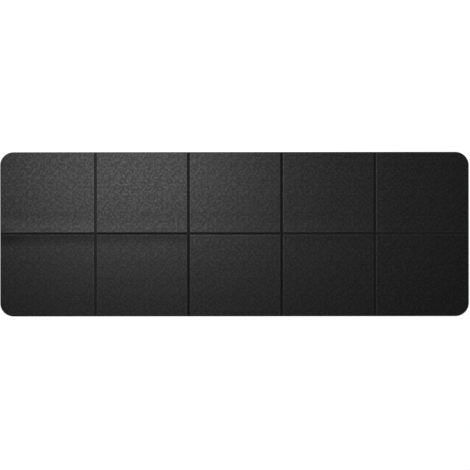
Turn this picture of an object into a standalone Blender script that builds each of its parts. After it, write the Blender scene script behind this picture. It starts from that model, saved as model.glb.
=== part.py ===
"""Folding exercise mat, two rows of five padded panels, joined by pressed creases.

The mat lies flat with its underside on z = 0 and its middle on the origin. X runs along its
length and Y across it. It is a foam laminate: a top layer, a woven scrim and a base layer, which
the press squeezes to a thin web along every crease. The mat is doubled along its middle, and the
doubled strip then folds in a zig-zag over the cross creases.
"""
import bmesh
import bpy
from math import cos, pi, sin
from mathutils import Matrix, Vector

# Driving dimensions, in metres. The creases sit a little off the middle of the cut outline.
MAT_LENGTH = 1.740
MAT_WIDTH = 0.610
MAT_CORNER = 0.050
CREASE_PITCH = 0.3459
LONG_CREASE_WIDTH = 0.0070
CROSS_CREASE_SHIFT = 0.0023
LONG_CREASE_SHIFT = 0.0026

TOP_LAYER = 0.0008
SCRIM = 0.0002
BASE_LAYER = 0.0008
GLUE_LINE = 0.0001
WEB_THICKNESS = 0.0006

RIM_WIDTH = 0.0025
RIM_DROP = 0.0006
FLAT_CORNER = 0.0010

FOLD_GAP = 0.0003
EDGE_GAP = 0.0003

# Counts: panels along the mat, and the facets of round stretches
COLUMNS = 5
MAT_CORNER_STEPS = 10
PANEL_CORNER_STEPS = 3
RIM_STEPS = 3
WEB_SIDES = 12

# Sizes that follow from the fold. A doubled strip folded back on itself puts the middles of two
# neighbours three panels apart, so the web between them bends on two lines that far apart, and
# the second panel turns about a line half that height over or under the web.
THICKNESS = BASE_LAYER + GLUE_LINE + SCRIM + GLUE_LINE + TOP_LAYER
MID_HEIGHT = THICKNESS / 2
HINGE_SPAN = 3 * (THICKNESS + FOLD_GAP)
CROSS_CREASE_WIDTH = HINGE_SPAN + WEB_THICKNESS + 2 * EDGE_GAP
LONG_AXIS_HEIGHT = THICKNESS + FOLD_GAP / 2
SCRIM_HEIGHT = BASE_LAYER + GLUE_LINE
TOP_HEIGHT = SCRIM_HEIGHT + SCRIM + GLUE_LINE
PANEL_CORNER = RIM_WIDTH + FLAT_CORNER

ROWS = {"front": -1, "back": 1}

# Colour, roughness and metallic value of each finish
FINISHES = {
    "embossed_foam": ((0.007, 0.007, 0.007, 1.0), 0.50, 0.0),
    "woven_scrim": ((0.040, 0.040, 0.039, 1.0), 0.85, 0.0),
    "grip_foam": ((0.008, 0.008, 0.008, 1.0), 0.66, 0.0),
    "pressed_web": ((0.003, 0.003, 0.003, 1.0), 0.55, 0.0),
}


def clear_scene():
    """Remove what the file opened with."""
    for old in list(bpy.data.objects):
        bpy.data.objects.remove(old, do_unlink=True)


def make_materials():
    """One Principled material for each finish."""
    materials = {}
    for name, (colour, roughness, metallic) in FINISHES.items():
        material = bpy.data.materials.new(name)
        material.use_nodes = True
        material.diffuse_color = colour
        shader = material.node_tree.nodes["Principled BSDF"]
        shader.inputs["Base Color"].default_value = colour
        shader.inputs["Roughness"].default_value = roughness
        shader.inputs["Metallic"].default_value = metallic
        materials[name] = material
    return materials


def crease_place(number):
    """X of the middle of a cross crease, counted from 1."""
    return (number - COLUMNS / 2) * CREASE_PITCH + CROSS_CREASE_SHIFT


def column_span(column):
    """The lowest and highest X of a column of panels, counted from 1."""
    low = -MAT_LENGTH / 2
    if column > 1:
        low = crease_place(column - 1) + CROSS_CREASE_WIDTH / 2
    high = MAT_LENGTH / 2
    if column < COLUMNS:
        high = crease_place(column) - CROSS_CREASE_WIDTH / 2
    return low, high


def row_span(row):
    """The lowest and highest Y of a row of panels."""
    if ROWS[row] < 0:
        return -MAT_WIDTH / 2, LONG_CREASE_SHIFT - LONG_CREASE_WIDTH / 2
    return LONG_CREASE_SHIFT + LONG_CREASE_WIDTH / 2, MAT_WIDTH / 2


def web_line(number):
    """The line that the web of a cross crease bends on, beside the column before it."""
    return crease_place(number) - HINGE_SPAN / 2, 0, MID_HEIGHT


def fold_line(number):
    """The line that the column after a crease turns about: over an odd crease, under an even one."""
    rise = HINGE_SPAN / 2 if number % 2 else -HINGE_SPAN / 2
    return crease_place(number), 0, MID_HEIGHT + rise


def slab(length, width, height):
    """A plain slab, centred on the origin in X and Y, standing on z = 0."""
    bm = bmesh.new()
    place = Matrix.Translation((0, 0, height / 2)) @ Matrix.Diagonal((length, width, height, 1))
    bmesh.ops.create_cube(bm, size=1.0, matrix=place)
    return bm


def round_corners(bm, mat_corner):
    """Round the upright edges. mat_corner gives the signs of the mat's own corner, or None."""
    def upright(edge):
        low, high = (vert.co for vert in edge.verts)
        return abs(low.x - high.x) < 1e-6 and abs(low.y - high.y) < 1e-6

    outer = []
    inner = []
    for edge in [e for e in bm.edges if upright(e)]:
        corner = edge.verts[0].co
        signs = (1 if corner.x > 0 else -1, 1 if corner.y > 0 else -1)
        (outer if signs == mat_corner else inner).append(edge)
    for edges, radius, steps in (
        (inner, PANEL_CORNER, PANEL_CORNER_STEPS),
        (outer, MAT_CORNER, MAT_CORNER_STEPS),
    ):
        if edges:
            bmesh.ops.bevel(bm, geom=edges, offset=radius, segments=steps, profile=0.5, affect="EDGES")


def roll_rim(bm, upward):
    """Roll the rim of the top or bottom face over, along a quarter of an ellipse."""
    bm.normal_update()
    face = max(bm.faces, key=lambda f: f.normal.z if upward else -f.normal.z)
    for step in range(RIM_STEPS):
        start = pi / 2 * step / RIM_STEPS
        end = pi / 2 * (step + 1) / RIM_STEPS
        inset = RIM_WIDTH * (cos(start) - cos(end))
        rise = RIM_DROP * (sin(end) - sin(start))
        bmesh.ops.inset_individual(bm, faces=[face], thickness=inset, depth=rise, use_even_offset=True)


def layer_mesh(length, width, height, mat_corner, rolled):
    """A layer of one panel, on z = 0. rolled is 1 for a rolled top rim, -1 for bottom, 0 for none."""
    bm = slab(length, width, height - abs(rolled) * RIM_DROP)
    round_corners(bm, mat_corner)
    if rolled:
        roll_rim(bm, rolled > 0)
    if rolled < 0:
        bmesh.ops.translate(bm, verts=bm.verts, vec=(0, 0, RIM_DROP))
    return bm


def web_mesh(span, length):
    """A pressed web along Y, centred on the origin, half round about lines a span apart in X."""
    bm = bmesh.new()
    half_step = pi / WEB_SIDES
    radius = WEB_THICKNESS / 2 / cos(half_step)
    turn = Matrix.Rotation(pi / 2, 4, "X") @ Matrix.Rotation(half_step, 4, "Z")
    bmesh.ops.create_cone(
        bm, cap_ends=True, segments=WEB_SIDES, radius1=radius, radius2=radius, depth=length, matrix=turn
    )
    for vert in bm.verts:
        vert.co.x += span / 2 if vert.co.x > 0 else -span / 2
    return bm


def make_pivot(name, place, parent=None):
    """An empty on a fold line, which carries the pieces that turn about it."""
    pivot = bpy.data.objects.new(name, None)
    pivot.empty_display_size = 0.02
    pivots.objects.link(pivot)
    pivot["place"] = place
    if parent:
        pivot.parent = parent
        pivot.location = Vector(place) - Vector(parent["place"])
    else:
        pivot.location = place
    return pivot


def make_piece(name, bm, finish, carrier, place, turn=0.0):
    """A piece of the mat, carried by a pivot, with its own origin at place."""
    bmesh.ops.recalc_face_normals(bm, faces=bm.faces)
    mesh = bpy.data.meshes.new(name)
    bm.to_mesh(mesh)
    bm.free()
    mesh.shade_smooth()
    mesh.set_sharp_from_angle(angle=pi / 6)
    mesh.materials.append(materials[finish])
    piece = bpy.data.objects.new(name, mesh)
    mat.objects.link(piece)
    piece.parent = carrier
    piece.location = Vector(place) - Vector(carrier["place"])
    piece.rotation_euler.z = turn
    return piece


def make_panel(column, row, carrier):
    """The three layers of one panel."""
    low, high = column_span(column)
    near, far = row_span(row)
    length = high - low
    width = far - near
    middle = ((low + high) / 2, (near + far) / 2)
    mat_corner = None
    if column == 1:
        mat_corner = (-1, ROWS[row])
    if column == COLUMNS:
        mat_corner = (1, ROWS[row])
    for layer, height, base, rolled, finish in (
        ("base_layer", BASE_LAYER, 0.0, -1, "grip_foam"),
        ("scrim", SCRIM, SCRIM_HEIGHT, 0, "woven_scrim"),
        ("top_layer", TOP_LAYER, TOP_HEIGHT, 1, "embossed_foam"),
    ):
        bm = layer_mesh(length, width, height, mat_corner, rolled)
        make_piece(f"{layer}_{row}_{column}", bm, finish, carrier, (*middle, base))


def make_long_crease(column, carrier):
    """The web of the lengthwise crease along one column."""
    low, high = column_span(column)
    bm = web_mesh(LONG_CREASE_WIDTH - WEB_THICKNESS - 2 * EDGE_GAP, high - low)
    place = ((low + high) / 2, LONG_CREASE_SHIFT, MID_HEIGHT)
    make_piece(f"long_crease_{column}", bm, "pressed_web", carrier, place, turn=pi / 2)


def make_cross_crease(number, row, carrier):
    """The web of one cross crease along one row."""
    near, far = row_span(row)
    place = (crease_place(number), (near + far) / 2, MID_HEIGHT)
    bm = web_mesh(HINGE_SPAN, far - near)
    make_piece(f"cross_crease_{row}_{number}", bm, "pressed_web", carrier, place)


def make_crossing(number, carrier):
    """The pressed patch where a cross crease meets the lengthwise one."""
    bm = web_mesh(HINGE_SPAN, LONG_CREASE_WIDTH - 2 * EDGE_GAP)
    place = (crease_place(number), LONG_CREASE_SHIFT, MID_HEIGHT)
    make_piece(f"crossing_{number}", bm, "pressed_web", carrier, place)


def build_mat():
    """Build the mat from its left end: a panel, its doubled neighbour, then the next crease."""
    carrier = make_pivot("panel_front_1_pivot", (column_span(1)[0], 0, 0))
    for column in range(1, COLUMNS + 1):
        low, high = column_span(column)
        make_panel(column, "front", carrier)
        make_long_crease(column, carrier)
        long_fold = ((low + high) / 2, LONG_CREASE_SHIFT, LONG_AXIS_HEIGHT)
        make_panel(column, "back", make_pivot(f"panel_back_{column}_pivot", long_fold, carrier))
        if column == COLUMNS:
            break
        web = make_pivot(f"web_front_{column}_pivot", web_line(column), carrier)
        make_cross_crease(column, "front", web)
        make_crossing(column, web)
        web_fold = (crease_place(column), LONG_CREASE_SHIFT, LONG_AXIS_HEIGHT)
        make_cross_crease(column, "back", make_pivot(f"web_back_{column}_pivot", web_fold, web))
        carrier = make_pivot(f"panel_front_{column + 1}_pivot", fold_line(column), carrier)


clear_scene()
mat = bpy.data.collections.new("folding_mat")
pivots = bpy.data.collections.new("fold_lines")
for collection in (mat, pivots):
    bpy.context.scene.collection.children.link(collection)
materials = make_materials()
build_mat()
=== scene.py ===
"""Looks of the folding exercise mat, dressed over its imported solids.

The mat is a laminate of two foam layers on a woven scrim, in two rows of five panels. A hot press
sets the creases between the panels. The sections follow the laminate from the floor up, then the
creases, and last the studio.
"""
from math import pi, radians

import bpy
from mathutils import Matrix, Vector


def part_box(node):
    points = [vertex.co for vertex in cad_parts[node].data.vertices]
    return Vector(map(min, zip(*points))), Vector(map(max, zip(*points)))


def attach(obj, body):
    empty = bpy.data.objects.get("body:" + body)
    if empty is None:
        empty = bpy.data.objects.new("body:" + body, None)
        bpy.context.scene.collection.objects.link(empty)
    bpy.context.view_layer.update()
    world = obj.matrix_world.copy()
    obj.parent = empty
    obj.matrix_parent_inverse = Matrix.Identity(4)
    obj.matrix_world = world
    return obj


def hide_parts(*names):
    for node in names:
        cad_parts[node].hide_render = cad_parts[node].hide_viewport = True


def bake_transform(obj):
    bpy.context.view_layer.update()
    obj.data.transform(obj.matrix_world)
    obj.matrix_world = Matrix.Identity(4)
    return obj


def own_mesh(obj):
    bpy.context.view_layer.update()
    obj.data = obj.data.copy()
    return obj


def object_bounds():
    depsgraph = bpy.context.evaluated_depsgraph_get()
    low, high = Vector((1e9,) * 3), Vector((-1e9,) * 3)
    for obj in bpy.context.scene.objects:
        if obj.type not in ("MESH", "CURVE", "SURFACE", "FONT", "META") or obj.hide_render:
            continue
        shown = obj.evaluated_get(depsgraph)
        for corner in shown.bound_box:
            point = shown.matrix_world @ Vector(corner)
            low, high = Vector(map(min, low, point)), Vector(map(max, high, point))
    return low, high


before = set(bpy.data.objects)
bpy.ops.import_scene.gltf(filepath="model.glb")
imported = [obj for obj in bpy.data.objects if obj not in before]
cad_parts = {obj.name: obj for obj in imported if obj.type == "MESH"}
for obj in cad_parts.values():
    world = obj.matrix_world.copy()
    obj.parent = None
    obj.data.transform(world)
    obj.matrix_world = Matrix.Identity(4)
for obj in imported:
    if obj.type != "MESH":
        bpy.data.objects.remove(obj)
solid_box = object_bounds()


# Grip base
# The lower half of the laminate: closed-cell foam, black right through, cast against a rippled
# belt that leaves low wavy ribs on its underside. It is glued to the scrim over its whole face.

COLUMNS = 5
ROWS = {"front": -1, "back": 1}
PANELS = [(row, column) for row in ROWS for column in range(1, COLUMNS + 1)]
MAT_CORNER = 0.050
PANEL_CORNER = 0.0010
RIM_WIDTH = 0.0020
RIM_DROP = 0.00025
SHOULDER_WIDTH = 0.0060
SHOULDER_DROP = 0.00040
# Panels and webs are lifted a little near the lengthwise crease
CREASE_LIFT = 0.00013
LIFT_REACH = 0.045
# From a panel's left end, how far its bend by that crease may rise
END_REACH = 0.16
BASE_CELL = 0.0020
RIB_PITCH = 0.0090
RIB_HEIGHT = 0.00018
RIB_SWAY = 0.0030
RIB_SWAY_PITCH = 0.027


class Wire:
    """A value on a wire between nodes, so that a rule can be written as a formula."""

    def __init__(self, tree, socket):
        self.tree = tree
        self.socket = socket

    def to(self, operation, *others):
        """A Math node on this value and others."""
        node = self.tree.nodes.new("ShaderNodeMath")
        node.operation = operation
        for socket, value in zip(node.inputs, (self, *others)):
            feed(self.tree, socket, value)
        return Wire(self.tree, node.outputs[0])

    def __add__(self, other):
        return self.to("ADD", other)

    def __sub__(self, other):
        return self.to("SUBTRACT", other)

    def __mul__(self, other):
        return self.to("MULTIPLY", other)

    def __truediv__(self, other):
        return self.to("DIVIDE", other)

    def taken_from(self, whole):
        """What is left of a whole number when this value is taken off."""
        return (self * -1) + whole

    def held(self, low, high):
        """This value, kept between two bounds."""
        return self.to("MAXIMUM", low).to("MINIMUM", high)

    def eased(self):
        """A value from 0 to 1, with both ends drawn flat."""
        return self * self * (self * -2 + 3)


def feed(tree, socket, value):
    """Link a wire to a socket, or set the socket's own value."""
    if isinstance(value, Wire):
        tree.links.new(value.socket, socket)
    else:
        socket.default_value = value


def add(tree, kind, feeds, **settings):
    """A node with its settings made and its inputs fed by name."""
    node = tree.nodes.new(kind)
    for name, value in settings.items():
        setattr(node, name, value)
    for name, value in feeds.items():
        socket = next(s for s in node.inputs if s.name == name and s.enabled)
        feed(tree, socket, value)
    return node


def wire(node, name=None):
    """A node's output by name, or its first one, as a wire."""
    socket = next(s for s in node.outputs if s.enabled and name in (None, s.name))
    return Wire(node.id_data, socket)


def parts(tree, vector):
    """The X, Y and Z of a vector, as wires."""
    split = add(tree, "ShaderNodeSeparateXYZ", {"Vector": vector})
    return [wire(split, axis) for axis in "XYZ"]


def joined(tree, x, y, z):
    """A vector from its X, Y and Z."""
    return wire(add(tree, "ShaderNodeCombineXYZ", {"X": x, "Y": y, "Z": z}))


def new_tree(name, inputs):
    """A geometry node tree with named inputs and one mesh out. Returns it with its input wires."""
    tree = bpy.data.node_groups.new(name, "GeometryNodeTree")
    tree.interface.new_socket("Mesh", in_out="OUTPUT", socket_type="NodeSocketGeometry")
    for label, kind in inputs.items():
        tree.interface.new_socket(label, in_out="INPUT", socket_type="NodeSocket" + kind)
    given = tree.nodes.new("NodeGroupInput")
    return tree, {label: wire(given, label) for label in inputs}


def finish_tree(tree, mesh, material):
    """End a tree: real geometry only, in its material."""
    real = wire(add(tree, "GeometryNodeRealizeInstances", {"Geometry": mesh}))
    done = wire(add(tree, "GeometryNodeSetMaterial", {"Geometry": real, "Material": material}))
    add(tree, "NodeGroupOutput", {"Mesh": done})


def moved(tree, mesh, place):
    """A mesh with its points set to a new place."""
    return wire(add(tree, "GeometryNodeSetPosition", {"Geometry": mesh, "Position": place}))


def point_parts(tree):
    """X, Y and Z of the points of the mesh that uses them."""
    return parts(tree, wire(tree.nodes.new("GeometryNodeInputPosition")))


def noise(tree, place, size, detail=2.0):
    """Noise with features of about a size in metres, from 0 to 1."""
    return wire(add(tree, "ShaderNodeTexNoise", {
        "Vector": place, "Scale": 1.0 / size, "Detail": detail,
    }), "Fac")


crease_edges = (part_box("top_layer_front_1")[1].y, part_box("top_layer_back_1")[0].y)


def crease_share(y, reach):
    """1 on the lengthwise crease, which stands up a little, falling to 0 out on the panels."""
    away = (y - sum(crease_edges) / 2).to("ABSOLUTE") - (crease_edges[1] - crease_edges[0]) / 2
    near = (away / reach).held(0.0, 1.0).taken_from(1.0)
    return near * near


def marked(tree, mesh, name, value):
    """A mesh that carries a value at each of its points, for its material."""
    return wire(add(tree, "GeometryNodeStoreNamedAttribute", {
        "Geometry": mesh, "Name": name, "Value": value,
    }, data_type="FLOAT", domain="POINT"))


LAYER_INPUTS = {
    "Low": "Vector",
    "High": "Vector",
    "Mat Corner Side": "Vector",
    "Mat Corner": "Float",
    "Panel Corner": "Float",
    "Rim Width": "Float",
    "Rim Drop": "Float",
    "Shoulder Width": "Float",
    "Shoulder Drop": "Float",
    "Pattern Height": "Float",
    "Facing": "Float",
    "Crease Lift": "Float",
    "Fold Memory": "Float",
    "Memory Reach": "Float",
    "End Rise": "Float",
    "Cell": "Float",
    "Material": "Material",
}
RIM_CELLS = 4
EDGE_PART = 6.0
PATTERN_START = 0.4
SEAM = 1e-6


def layer_tree(name, pattern):
    """One layer of a panel: a net drawn in to the outline, a rolled rim, a pattern and a flat back.

    pattern is a function of the tree and the mat's X and Y, which gives 0 in a hollow to 1 on top.
    """
    tree, given = new_tree(name, LAYER_INPUTS)
    low = parts(tree, given["Low"])
    high = parts(tree, given["High"])
    side = parts(tree, given["Mat Corner Side"])
    middle = [(a + b) * 0.5 for a, b in zip(low, high)]
    half = [(b - a) * 0.5 for a, b in zip(low[:2], high[:2])]
    height = high[2] - low[2]
    band = given["Cell"] * RIM_CELLS

    # An even net, half a band too wide on each side
    wide = [length + band * 0.5 for length in half]
    cells = [(length * 2 / given["Cell"]).to("ROUND") + 1 for length in wide]
    grid = add(tree, "GeometryNodeMeshGrid", {
        "Size X": wide[0] * 2, "Size Y": wide[1] * 2, "Vertices X": cells[0], "Vertices Y": cells[1],
    })
    net = wire(grid, "Mesh")

    # Drawn in at its rim, where the cells get finer, and then rounded at its corners
    sign = []
    reach = []
    for place, length, outer in zip(point_parts(tree), half, wide):
        inset = outer - place.to("ABSOLUTE")
        fine = inset.to("MINIMUM", band)
        sign.append(place.to("SIGN"))
        reach.append(length - fine * fine / (band * 2) - (inset - band).to("MAXIMUM", 0.0))
    at_mat_corner = (sign[0] * side[0] + sign[1] * side[1]).to("GREATER_THAN", 1.5)
    radius = given["Panel Corner"] + at_mat_corner * (given["Mat Corner"] - given["Panel Corner"])
    over = [(far - length + radius).to("MAXIMUM", 0.0) / radius for far, length in zip(reach, half)]
    squeeze = [(over[1 - n] * over[1 - n] * -0.5 + 1.0).to("SQRT") for n in (0, 1)]
    drawn = [
        sign[n] * ((half[n] - radius).to("MINIMUM", reach[n]) + radius * over[n] * squeeze[n])
        for n in (0, 1)
    ]
    net = moved(tree, net, joined(tree, drawn[0] + middle[0], drawn[1] + middle[1], 0.0))

    # How far in from the outline each point lies
    x, y, _ = point_parts(tree)
    here = [x - middle[0], y - middle[1]]
    spots = [place.to("SIGN") for place in here]
    in_mat_corner = (spots[0] * side[0] + spots[1] * side[1]).to("GREATER_THAN", 1.5)
    arc = given["Panel Corner"] + in_mat_corner * (given["Mat Corner"] - given["Panel Corner"])
    past = [place.to("ABSOLUTE") - length + arc for place, length in zip(here, half)]
    out = [value.to("MAXIMUM", 0.0) for value in past]
    round_part = (out[0] * out[0] + out[1] * out[1]).to("SQRT")
    flat_part = past[0].to("MAXIMUM", past[1]).to("MINIMUM", 0.0)
    inset = arc - round_part - flat_part

    # A soft shoulder, then a rim that rolls over along a quarter of an ellipse, where the pattern fades.
    # Each point keeps what the foam's material needs: the pattern, the rim's outer part, the middle of
    # the shoulder, and the rim's fall.
    roll = (inset / given["Rim Width"]).held(0.0, 1.0).taken_from(1.0)
    slope = (inset / given["Shoulder Width"]).held(0.0, 1.0).taken_from(1.0)
    drop = (roll * roll * -1 + 1.0).to("SQRT").taken_from(1.0) * given["Rim Drop"]
    drop = drop + slope * slope * given["Shoulder Drop"]
    fade = (inset / given["Rim Width"] - PATTERN_START).held(0.0, 1.0).eased()
    raised = pattern(tree, x, y)
    hollow = raised.taken_from(1.0) * fade * given["Pattern Height"]
    net = marked(tree, net, "grain", raised)
    net = marked(tree, net, "rim", (roll * EDGE_PART - (EDGE_PART - 1.0)).held(0.0, 1.0))
    net = marked(tree, net, "shoulder", slope * slope.taken_from(1.0) * 4.0)
    net = marked(tree, net, "sag", roll * roll)
    net = moved(tree, net, joined(tree, x, y, height - drop - hollow))

    # Walls from the rim down to the back, and the back itself
    borders = wire(tree.nodes.new("GeometryNodeInputMeshEdgeNeighbors"), "Face Count")
    rim = borders.to("LESS_THAN", 1.5)
    wall = height - given["Rim Drop"] - given["Shoulder Drop"]
    walls = add(tree, "GeometryNodeExtrudeMesh", {
        "Mesh": net, "Selection": rim, "Offset": joined(tree, 0.0, 0.0, wall * -1), "Offset Scale": 1.0,
    }, mode="EDGES")
    loop = add(tree, "GeometryNodeMeshToCurve", {
        "Mesh": wire(walls, "Mesh"), "Selection": wire(walls, "Top"),
    })
    back = wire(add(tree, "GeometryNodeFillCurve", {"Curve": wire(loop)}, mode="TRIANGLES"))
    back = wire(add(tree, "GeometryNodeFlipFaces", {"Mesh": back}))
    layer = add(tree, "GeometryNodeJoinGeometry", {})
    for mesh in (back, wire(walls, "Mesh")):
        tree.links.new(mesh.socket, layer.inputs[0])
    layer = wire(add(tree, "GeometryNodeMergeByDistance", {
        "Geometry": wire(layer), "Distance": SEAM,
    }))

    # Set at its height, face up or face down, and lifted along the crease. How far the panel remembers
    # the lengthwise fold is kept for the material.
    x, y, z = point_parts(tree)
    down = given["Facing"].to("LESS_THAN", 0.0)
    foot = low[2] + down * height
    from_end = ((x - low[0]) / END_REACH).held(0.0, 1.0).taken_from(1.0)
    rise = from_end * from_end * given["End Rise"] + 1.0
    memory = crease_share(y, given["Memory Reach"]) * given["Fold Memory"] * rise
    layer = marked(tree, layer, "memory", memory)
    lifted = foot + z * given["Facing"] + crease_share(y, LIFT_REACH) * given["Crease Lift"]
    layer = moved(tree, layer, joined(tree, x, y, lifted))
    layer = wire(add(tree, "GeometryNodeFlipFaces", {"Mesh": layer, "Selection": down}))
    finish_tree(tree, layer, given["Material"])
    return tree


def grow(name, tree, values):
    """Run a node tree once, and keep what it makes as a plain mesh."""
    piece = bpy.data.objects.new(name, bpy.data.meshes.new(name))
    bpy.context.scene.collection.objects.link(piece)
    growth = piece.modifiers.new(name, "NODES")
    growth.node_group = tree
    for socket in tree.interface.items_tree:
        if socket.in_out == "INPUT":
            growth[socket.identifier] = values[socket.name]
    evaluated = piece.evaluated_get(bpy.context.evaluated_depsgraph_get())
    mesh = bpy.data.meshes.new_from_object(evaluated)
    piece.modifiers.remove(growth)
    piece.data = mesh
    mesh.shade_smooth()
    mesh.set_sharp_from_angle(angle=radians(50))
    return piece


def grow_layer(
    name, tree, node, row, column, facing, height, cell, material, rolled=1.0, memory=(0.0, 1.0, 0.0)
):
    """A layer of one panel, grown in the box of its solid.

    memory is how high the fold is remembered, how far from the crease, and its rise at the mat's end.
    """
    low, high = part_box(node)
    end = {1: -1, COLUMNS: 1}.get(column, 0)
    return grow(name, tree, {
        "Low": low,
        "High": high,
        "Mat Corner Side": (end, ROWS[row] if end else 0, 0),
        "Mat Corner": MAT_CORNER,
        "Panel Corner": PANEL_CORNER,
        "Rim Width": RIM_WIDTH,
        "Rim Drop": RIM_DROP * rolled,
        "Shoulder Width": SHOULDER_WIDTH,
        "Shoulder Drop": SHOULDER_DROP * rolled,
        "Pattern Height": height,
        "Facing": facing,
        "Crease Lift": CREASE_LIFT,
        "Fold Memory": memory[0],
        "Memory Reach": memory[1],
        "End Rise": memory[2],
        "Cell": cell,
        "Material": material,
    })


def rippled(tree, x, y):
    """Wavy ribs along the mat."""
    sway = (x * (2 * pi / RIB_SWAY_PITCH)).to("SINE") * RIB_SWAY
    return ((y + sway) * (2 * pi / RIB_PITCH)).to("SINE") * 0.5 + 0.5


def new_material(name, roughness, specular):
    """A material with a Principled shader. Returns it with its tree and shader."""
    material = bpy.data.materials.new(name)
    material.use_nodes = True
    shader = material.node_tree.nodes["Principled BSDF"]
    shader.inputs["Roughness"].default_value = roughness
    shader.inputs["Specular IOR Level"].default_value = specular
    return material, material.node_tree, shader


def carried(tree, name):
    """A value that the mesh carries at its points."""
    return wire(add(tree, "ShaderNodeAttribute", {}, attribute_name=name), "Fac")


def feed_colour(tree, shader, factor, dark, pale):
    """Set the base colour between two greys."""
    mix = add(tree, "ShaderNodeMix", {"Factor": factor}, data_type="RGBA")
    mix.inputs[6].default_value = (*dark, 1)
    mix.inputs[7].default_value = (*pale, 1)
    tree.links.new(mix.outputs[2], shader.inputs["Base Color"])


def feed_bump(tree, shader, height):
    """Give the skin a fine relief, with its height in metres."""
    bump = add(tree, "ShaderNodeBump", {"Height": height, "Distance": 1.0})
    tree.links.new(bump.outputs[0], shader.inputs["Normal"])


def foam_skin_group():
    """The skin of closed-cell foam: fine burst cells, and a faint mottle where it cooled unevenly."""
    group = bpy.data.node_groups.new("foam_skin", "ShaderNodeTree")
    for label in ("Cell Size", "Mottle Size"):
        group.interface.new_socket(label, in_out="INPUT", socket_type="NodeSocketFloat")
    for label in ("Cells", "Mottle"):
        group.interface.new_socket(label, in_out="OUTPUT", socket_type="NodeSocketFloat")
    given = group.nodes.new("NodeGroupInput")
    place = wire(group.nodes.new("ShaderNodeTexCoord"), "Object")
    cells = wire(add(group, "ShaderNodeTexVoronoi", {
        "Vector": place, "Scale": wire(given, "Cell Size").to("POWER", -1.0),
    }, feature="SMOOTH_F1"), "Distance")
    mottle = wire(add(group, "ShaderNodeTexNoise", {
        "Vector": place, "Scale": wire(given, "Mottle Size").to("POWER", -1.0), "Detail": 3.0,
    }), "Fac")
    add(group, "NodeGroupOutput", {"Cells": cells, "Mottle": mottle})
    return group


foam_skin = foam_skin_group()
MOTTLE_SIZE = 0.03
MOTTLE_SHARE = 0.4
BURNISH = 0.08
HOLLOW_GLOSS = 0.835
GRAIN_GLOSS = 0.32
SHOULDER_GLOSS = 0.28
RIM_FALL = 0.0007


def foam_material(name, hollow, land, roughness, specular, cell_size, cell_depth):
    """Black foam: burnished on the raised grains, matt in the hollows, with fine cells all over."""
    material, tree, shader = new_material(name, roughness, specular)
    skin = add(tree, "ShaderNodeGroup", {}, node_tree=foam_skin)
    skin.inputs["Cell Size"].default_value = cell_size
    skin.inputs["Mottle Size"].default_value = MOTTLE_SIZE
    mottle = wire(skin, "Mottle") - 0.5
    shine = (carried(tree, "grain") + mottle * MOTTLE_SHARE).held(0.0, 1.0)
    feed_colour(tree, shader, shine, hollow, land)
    feed(tree, shader.inputs["Roughness"], shine * -BURNISH + (roughness + BURNISH / 2))
    gloss = shine * GRAIN_GLOSS + HOLLOW_GLOSS + carried(tree, "shoulder") * SHOULDER_GLOSS
    inside_edge = carried(tree, "rim").taken_from(1.0)
    feed(tree, shader.inputs["Specular IOR Level"], gloss * inside_edge * specular)
    bend = carried(tree, "memory") - carried(tree, "sag") * RIM_FALL
    feed_bump(tree, shader, wire(skin, "Cells") * cell_depth + bend)
    return material


grip_foam = foam_material(
    "grip_foam", (0.0060, 0.0060, 0.0060), (0.0100, 0.0100, 0.0100), 0.66, 0.4, 0.0012, 0.00012
)
base_tree = layer_tree("grip_base", rippled)
for row, column in PANELS:
    node = f"base_layer_{row}_{column}"
    base = grow_layer(
        f"grip_base_{row}_{column}", base_tree, node, row, column, -1.0, RIB_HEIGHT, BASE_CELL, grip_foam
    )
    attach(base, f"panel_{row}_{column}")
    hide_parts(node)


# Scrim
# An open plain weave of polyester between the foam layers, which keeps the mat from stretching.
# It is cut with the panel, so that only its edge shows, and held flat by the glue on both faces.

SCRIM_CELL = 0.0040
THREAD_PITCH = 0.0016
THREAD_RELIEF = 0.00008


def smooth(tree, x, y):
    """No pattern: level with the top."""
    return x * 0.0 + 1.0


def scrim_material():
    """Grey threads, over and under."""
    material, tree, shader = new_material("woven_scrim", 0.85, 0.3)
    x, y, _ = parts(tree, wire(tree.nodes.new("ShaderNodeTexCoord"), "Object"))
    turn = pi / THREAD_PITCH
    weave = (x * turn).to("SINE") * (y * turn).to("SINE") * 0.5 + 0.5
    feed_colour(tree, shader, weave, (0.020, 0.020, 0.020), (0.050, 0.050, 0.049))
    feed_bump(tree, shader, weave * THREAD_RELIEF)
    return material


woven_scrim = scrim_material()
scrim_tree = layer_tree("scrim", smooth)
for row, column in PANELS:
    node = f"scrim_{row}_{column}"
    scrim = grow_layer(
        f"reinforcing_scrim_{row}_{column}", scrim_tree, node, row, column, 1.0, 0.0, SCRIM_CELL,
        woven_scrim, rolled=0.0,
    )
    low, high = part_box(node)
    size = high - low
    corner_off = (1 - pi / 4) * MAT_CORNER ** 2 if column in (1, COLUMNS) else 0.0
    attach(scrim, f"panel_{row}_{column}")
    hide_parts(node)
    size.x * size.y - corner_off


# Embossed top
# The wear face: the same foam, run hot under an engraved roller that leaves short raised grains,
# turned every way so that hands and feet don't slip. The roller's block of grains repeats in bond,
# and it presses unevenly. Each panel remembers the lengthwise fold in its own way.

TOP_CELL = 0.0015
GRAIN_BLOCK_LENGTH = 0.0435
GRAIN_BLOCK_WIDTH = 0.0612
GRAIN_SPACING = 0.0098
GRAIN_LENGTH = 0.0060
GRAIN_HALF_WIDTH = 0.0056
GRAIN_HEIGHT = 0.00012
GRAIN_STRETCH = (0.5, 1.5)
GRAIN_SHARE = 0.5
GRAIN_SEED = 4
GRAIN_DENSITY_LIMIT = 3e5
PRESS_PATCH = 0.0085
PRESS_SHARE = 2.8
PRESS_LEVEL = 0.10
MEMORY_REACH = {"front": 0.045, "back": 0.060}
END_RISE = 2.0
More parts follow.
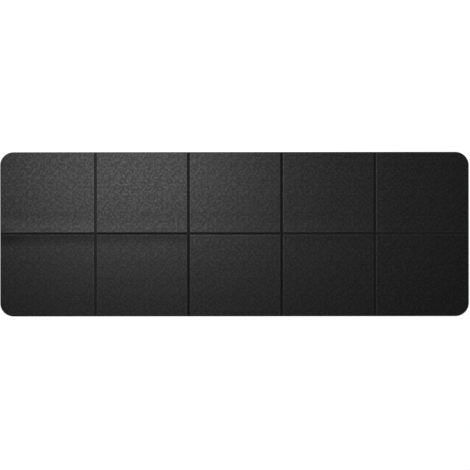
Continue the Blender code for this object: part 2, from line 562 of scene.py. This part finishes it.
# How high each panel's bend is drawn at the lengthwise crease, from the left end of the mat
FOLD_MEMORY = {
    "front": (0.0034, 0.0025, 0.0003, 0.0016, 0.0006),
    "back": (0.0046, 0.0018, 0.0017, 0.0040, 0.0015),
}
BLOCKS_ALONG = 43
BLOCKS_ACROSS = 13


def roller_grain_group():
    """The lines that the roller's grains lie on, all over the mat."""
    group, given = new_tree("roller_grain", {
        "Block Length": "Float", "Block Width": "Float", "Spacing": "Float", "Grain Length": "Float",
        "Seed": "Int",
    })
    block = wire(add(group, "GeometryNodeMeshGrid", {
        "Size X": given["Block Length"], "Size Y": given["Block Width"], "Vertices X": 2, "Vertices Y": 2,
    }), "Mesh")
    spots = wire(add(group, "GeometryNodeDistributePointsOnFaces", {
        "Mesh": block,
        "Distance Min": given["Spacing"],
        "Density Max": GRAIN_DENSITY_LIMIT,
        "Seed": given["Seed"],
    }, distribute_method="POISSON"), "Points")
    turn = wire(add(group, "FunctionNodeRandomValue", {
        "Min": 0.0, "Max": pi, "Seed": given["Seed"],
    }, data_type="FLOAT"))
    scale = wire(add(group, "FunctionNodeRandomValue", {
        "Min": GRAIN_STRETCH[0], "Max": GRAIN_STRETCH[1], "Seed": given["Seed"] + 1,
    }, data_type="FLOAT"))
    grain = wire(add(group, "GeometryNodeMeshLine", {
        "Count": 2, "Start Location": joined(group, given["Grain Length"] * -0.5, 0.0, 0.0),
        "Offset": joined(group, given["Grain Length"], 0.0, 0.0),
    }))
    grains = wire(add(group, "GeometryNodeInstanceOnPoints", {
        "Points": spots, "Instance": grain, "Rotation": joined(group, 0.0, 0.0, turn),
        "Scale": joined(group, scale, scale, scale),
    }))
    lattice = wire(add(group, "GeometryNodeMeshGrid", {
        "Size X": given["Block Length"] * (BLOCKS_ALONG - 1),
        "Size Y": given["Block Width"] * (BLOCKS_ACROSS - 1),
        "Vertices X": BLOCKS_ALONG,
        "Vertices Y": BLOCKS_ACROSS,
    }), "Mesh")
    x, y, _ = point_parts(group)
    odd = (y / given["Block Width"]).to("ROUND").to("FLOORED_MODULO", 2.0)
    lattice = moved(group, lattice, joined(group, x + odd * given["Block Length"] * 0.5, y, 0.0))
    bond = wire(add(group, "GeometryNodeInstanceOnPoints", {"Points": lattice, "Instance": grains}))
    lines = wire(add(group, "GeometryNodeRealizeInstances", {"Geometry": bond}))
    add(group, "NodeGroupOutput", {"Mesh": lines})
    return group


roller_grain = roller_grain_group()


def embossed(tree, x, y):
    """High along a grain's line, falling to its half width, and higher where the roller pressed less."""
    lines = wire(add(tree, "GeometryNodeGroup", {}, node_tree=roller_grain))
    node = lines.socket.node
    for label, value in (
        ("Block Length", GRAIN_BLOCK_LENGTH),
        ("Block Width", GRAIN_BLOCK_WIDTH),
        ("Spacing", GRAIN_SPACING),
        ("Grain Length", GRAIN_LENGTH),
        ("Seed", GRAIN_SEED),
    ):
        node.inputs[label].default_value = value
    near = add(tree, "GeometryNodeProximity", {
        "Geometry": lines, "Sample Position": joined(tree, x, y, 0.0),
    }, target_element="EDGES")
    grain = (wire(near, "Distance") / GRAIN_HALF_WIDTH).held(0.0, 1.0).taken_from(1.0).eased()
    press = noise(tree, joined(tree, x, y, 0.0), PRESS_PATCH)
    return (grain * GRAIN_SHARE + (press - 0.5) * PRESS_SHARE + PRESS_LEVEL).held(0.0, 1.0)


embossed_foam = foam_material(
    "embossed_foam", (0.0016, 0.0016, 0.0017), (0.0116, 0.0116, 0.0117), 0.465, 0.5, 0.0011, 0.00010
)
top_tree = layer_tree("embossed_top", embossed)
for row, column in PANELS:
    node = f"top_layer_{row}_{column}"
    rise = END_RISE if column == 1 else 0.0
    top = grow_layer(
        f"embossed_top_{row}_{column}", top_tree, node, row, column, 1.0, GRAIN_HEIGHT, TOP_CELL,
        embossed_foam, memory=(FOLD_MEMORY[row][column - 1], MEMORY_REACH[row], rise),
    )
    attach(top, f"panel_{row}_{column}")
    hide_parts(node)


# Crease webs
# Where the press shuts, the whole laminate is melted down to a thin smooth web. A cross web bends
# on a line along each of its edges, and a lengthwise one rolls round as the rows are doubled. In the
# doubled mat the back row lies inside folds 1 and 3. Its webs there are pressed flat against the
# front row's, and the crossings crumple.

WEB_THICKNESS = 0.0006
WEB_TUCK = 0.0006
WEB_STEP = 0.0040
WEB_FLOW = 0.00005
FLOW_PATCH = 0.00625
FLOW_STREAK = 0.0012
STREAK_RELIEF = 0.00005
STREAK_SHARE = 0.25
STREAK_ROUGHNESS = 0.16
WEB_ROUGHNESS = 0.47
WEB_GLOSS = 0.05
LOOSE_GLOSS = 0.09
EDGE_ROUND = 0.499
PROFILE_STEP = 0.4
INNER_FOLDS = (1, 3)
# In those folds a back web reaches less far under its panels. It is pressed towards the front web,
# whose face stands at this height over it in the doubled mat, and a share of each size is left.
INNER_TUCK = 0.00035
# From the left end of the mat: 0 is black, and 1 is grey. The grey is painted light: painted sheen on the
# cross webs, most where the key lamp's reflection falls, and lengthwise webs painted lighter towards the
# right end.
CROSS_PAINTED_LIGHT = {"front": (0.5, 0.0, 0.0, 0.3), "back": (0.8, 0.2, 0.0, 0.2)}
LONG_PAINTED_LIGHT = (0.1, 0.0, 0.2, 0.4, 0.6)
LOOSE_END = 0.008
LOOSE_PATCH = 0.030
NO_LOOSE_END = 0.0001


def web_tree():
    """A flat bar with round edges, drawn from one end of a crease to the other."""
    tree, given = new_tree("pressed_web", {
        "Start": "Vector", "End": "Vector", "Width": "Float", "Thickness": "Float", "Step": "Float",
        "Crease Lift": "Float", "Flow": "Float", "Loose End": "Float", "Painted Light": "Float",
        "Material": "Material",
    })
    line = wire(add(tree, "GeometryNodeCurvePrimitiveLine", {
        "Start": given["Start"], "End": given["End"],
    }))
    line = wire(add(tree, "GeometryNodeResampleCurve", {
        "Curve": line, "Length": given["Step"],
    }, mode="LENGTH"))
    bar = wire(add(tree, "GeometryNodeCurvePrimitiveQuadrilateral", {
        "Width": given["Width"], "Height": given["Thickness"],
    }))
    bar = add(tree, "GeometryNodeFilletCurve", {
        "Curve": bar, "Count": 5, "Radius": given["Thickness"] * EDGE_ROUND,
    }, mode="POLY")
    bar = wire(add(tree, "GeometryNodeResampleCurve", {
        "Curve": wire(bar), "Length": given["Thickness"] * PROFILE_STEP,
    }, mode="LENGTH"))
    run = wire(tree.nodes.new("GeometryNodeSplineParameter"), "Length")
    whole = wire(tree.nodes.new("GeometryNodeSplineLength"), "Length")
    near_end = (run.to("MINIMUM", whole - run) / given["Loose End"]).held(0.0, 1.0).taken_from(1.0)
    line = marked(tree, line, "loose", near_end.eased())
    web = wire(add(tree, "GeometryNodeCurveToMesh", {
        "Curve": line, "Profile Curve": bar, "Fill Caps": True,
    }))
    # Each point carries the web's painted light: a grey that stands in for sheen and light level, not
    # wear
    web = marked(tree, web, "painted_light", given["Painted Light"])
    x, y, z = point_parts(tree)
    place = wire(tree.nodes.new("GeometryNodeInputPosition"))
    ripple = (noise(tree, place, FLOW_PATCH, detail=1.0) - 0.5) * given["Flow"]
    lift = crease_share(y, LIFT_REACH) * given["Crease Lift"]
    web = moved(tree, web, joined(tree, x, y, z + ripple + lift))
    finish_tree(tree, web, given["Material"])
    return tree


def web_material(name, stretch):
    """Smooth melted skin: flow marks along the crease, painted sheen and light that grey some webs,
    glossier at its loose ends.
    """
    material, tree, shader = new_material(name, WEB_ROUGHNESS, WEB_GLOSS)
    place = wire(tree.nodes.new("ShaderNodeTexCoord"), "Object")
    along = wire(add(tree, "ShaderNodeMapping", {"Vector": place, "Scale": stretch}))
    flow = noise(tree, along, FLOW_STREAK)
    # Flow streaks, plus the web's painted sheen and light
    streaks_and_painted_light = flow * STREAK_SHARE + carried(tree, "painted_light")
    feed_colour(tree, shader, streaks_and_painted_light, (0.0060, 0.0060, 0.0060), (0.0240, 0.0240, 0.0240))
    gloss = carried(tree, "loose") * LOOSE_GLOSS + WEB_GLOSS
    feed(tree, shader.inputs["Specular IOR Level"], gloss)
    feed(tree, shader.inputs["Roughness"], flow * STREAK_ROUGHNESS + WEB_ROUGHNESS)
    feed_bump(tree, shader, flow * STREAK_RELIEF)
    return material


pressed_web = web_tree()
cross_skin = web_material("pressed_cross_web", (1.0, 0.08, 1.0))
long_skin = web_material("pressed_long_web", (0.08, 1.0, 1.0))


def grow_web(name, node, along, material, loose_end, painted_light, tuck=WEB_TUCK, end_tuck=0.0):
    """A web in the box of its solid, run along X (0) or Y (1), and closed up to the panels beside it."""
    low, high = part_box(node)
    middle = (low + high) / 2
    start = middle.copy()
    end = middle.copy()
    start[along] = low[along] - end_tuck
    end[along] = high[along] + end_tuck
    return grow(name, pressed_web, {
        "Start": start,
        "End": end,
        "Width": high[1 - along] - low[1 - along] + 2 * tuck,
        "Thickness": WEB_THICKNESS,
        "Step": WEB_STEP,
        "Crease Lift": CREASE_LIFT,
        "Flow": WEB_FLOW,
        "Loose End": loose_end,
        # How far painted sheen and light grey this web
        "Painted Light": painted_light,
        "Material": material,
    })


for number in range(1, COLUMNS):
    for row in ROWS:
        node = f"cross_crease_{row}_{number}"
        inner = row == "back" and number in INNER_FOLDS
        tuck = INNER_TUCK if inner else WEB_TUCK
        # The painted sheen on this cross web
        painted_light = CROSS_PAINTED_LIGHT[row][number - 1]
        web = grow_web(f"cross_web_{row}_{number}", node, 1, cross_skin, NO_LOOSE_END, painted_light, tuck)
        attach(web, f"web_{row}_{number}")
        if inner:
            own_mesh(web)
        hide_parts(node)
for column in range(1, COLUMNS + 1):
    node = f"long_crease_{column}"
    # The lengthwise web's painted light, lighter towards the right end
    web = grow_web(f"long_web_{column}", node, 0, long_skin, LOOSE_END, LONG_PAINTED_LIGHT[column - 1])
    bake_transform(web)
    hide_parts(node)
for number in range(1, COLUMNS):
    node = f"crossing_{number}"
    web = grow_web(f"crossing_web_{number}", node, 0, long_skin, LOOSE_PATCH, 0.0, end_tuck=WEB_TUCK)
    if number in INNER_FOLDS:
        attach(web, f"web_front_{number}")
        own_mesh(web)
    else:
        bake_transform(web)
    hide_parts(node)


# Studio
# A white floor, a soft key lamp above the left end that leaves a broad sheen there, a wide weak fill
# lamp beyond the right half, and a room that is dark overhead and bright low down.

FLOOR_SIZE = 80.0
FLOOR_DROP = 0.0002
FLOOR_GREY = 0.40
FLOOR_GLOW = 0.85
ROOM_GLOW = 0.90
# Place, size and power in watts
LAMPS = {
    "key_lamp": ((-0.530, 0.318, 1.198), (0.920, 0.294), 8.05),
    "fill_lamp": ((0.347, 0.573, 1.657), (1.165, 1.678), 3.55),
}

floor_mesh = bpy.data.meshes.new("floor")
floor_corners = [(-0.5, -0.5, 0), (0.5, -0.5, 0), (0.5, 0.5, 0), (-0.5, 0.5, 0)]
floor_mesh.from_pydata(floor_corners, [], [(0, 1, 2, 3)])
floor = bpy.data.objects.new("floor", floor_mesh)
floor.scale = (FLOOR_SIZE, FLOOR_SIZE, 1)
floor.location.z = -FLOOR_DROP
bpy.context.scene.collection.objects.link(floor)
floor.visible_diffuse = False
floor.visible_shadow = False


def seen_directly(tree):
    """1 for a ray from the camera, or one that a mirror or a pane passes on."""
    path = tree.nodes.new("ShaderNodeLightPath")
    rays = wire(path, "Is Camera Ray").to("MAXIMUM", wire(path, "Is Glossy Ray"))
    return rays.to("MAXIMUM", wire(path, "Is Transmission Ray"))


def floor_material():
    """Matt white that also glows a little for the camera, and can be seen through from below."""
    material = bpy.data.materials.new("white_floor")
    material.use_nodes = True
    tree = material.node_tree
    tree.nodes.remove(tree.nodes["Principled BSDF"])
    matt = add(tree, "ShaderNodeBsdfDiffuse", {"Color": (FLOOR_GREY, FLOOR_GREY, FLOOR_GREY, 1)})
    glow = add(tree, "ShaderNodeEmission", {
        "Color": (1, 1, 1, 1), "Strength": seen_directly(tree) * FLOOR_GLOW,
    })
    both = tree.nodes.new("ShaderNodeAddShader")
    tree.links.new(matt.outputs[0], both.inputs[0])
    tree.links.new(glow.outputs[0], both.inputs[1])
    clear = tree.nodes.new("ShaderNodeBsdfTransparent")
    under = tree.nodes.new("ShaderNodeNewGeometry").outputs["Backfacing"]
    mix = tree.nodes.new("ShaderNodeMixShader")
    tree.links.new(under, mix.inputs[0])
    tree.links.new(both.outputs[0], mix.inputs[1])
    tree.links.new(clear.outputs[0], mix.inputs[2])
    tree.links.new(mix.outputs[0], tree.nodes["Material Output"].inputs["Surface"])
    return material


floor_mesh.materials.append(floor_material())

world = bpy.data.worlds.new("studio")
bpy.context.scene.world = world
world.use_nodes = True
sky = world.node_tree
height = parts(sky, wire(sky.nodes.new("ShaderNodeTexCoord"), "Generated"))[2]
level = (height * height).taken_from(1.0)
glow = level * level * ROOM_GLOW
camera_ray = wire(sky.nodes.new("ShaderNodeLightPath"), "Is Camera Ray")
background = sky.nodes["Background"]
background.inputs["Color"].default_value = (1, 1, 1, 1)
feed(sky, background.inputs["Strength"], camera_ray + camera_ray.taken_from(1.0) * glow)

for name, (place, size, power) in LAMPS.items():
    lamp_data = bpy.data.lights.new(name, "AREA")
    lamp_data.shape = "RECTANGLE"
    lamp_data.size, lamp_data.size_y = size
    lamp_data.energy = power
    lamp = bpy.data.objects.new(name, lamp_data)
    lamp.location = place
    bpy.context.scene.collection.objects.link(lamp)


# Camera
# Straight above the mat, as the photograph is taken, with the mat a hair left of and above centre
# and turned by a twentieth of a degree.

LENS = 85.0
SENSOR = 36.0
VIEW_WIDTH = 1.7448
CAMERA_SIDE = (0.0020, -0.0030)
CAMERA_ROLL = -0.05

camera_data = bpy.data.cameras.new("camera")
camera_data.lens = LENS
camera_data.sensor_width = SENSOR
camera = bpy.data.objects.new("camera", camera_data)
camera.location = (*CAMERA_SIDE, VIEW_WIDTH * LENS / SENSOR + solid_box[1].z)
camera.rotation_euler.z = radians(CAMERA_ROLL)
bpy.context.scene.collection.objects.link(camera)
bpy.context.scene.camera = camera
bpy.context.scene.view_settings.view_transform = "Standard"
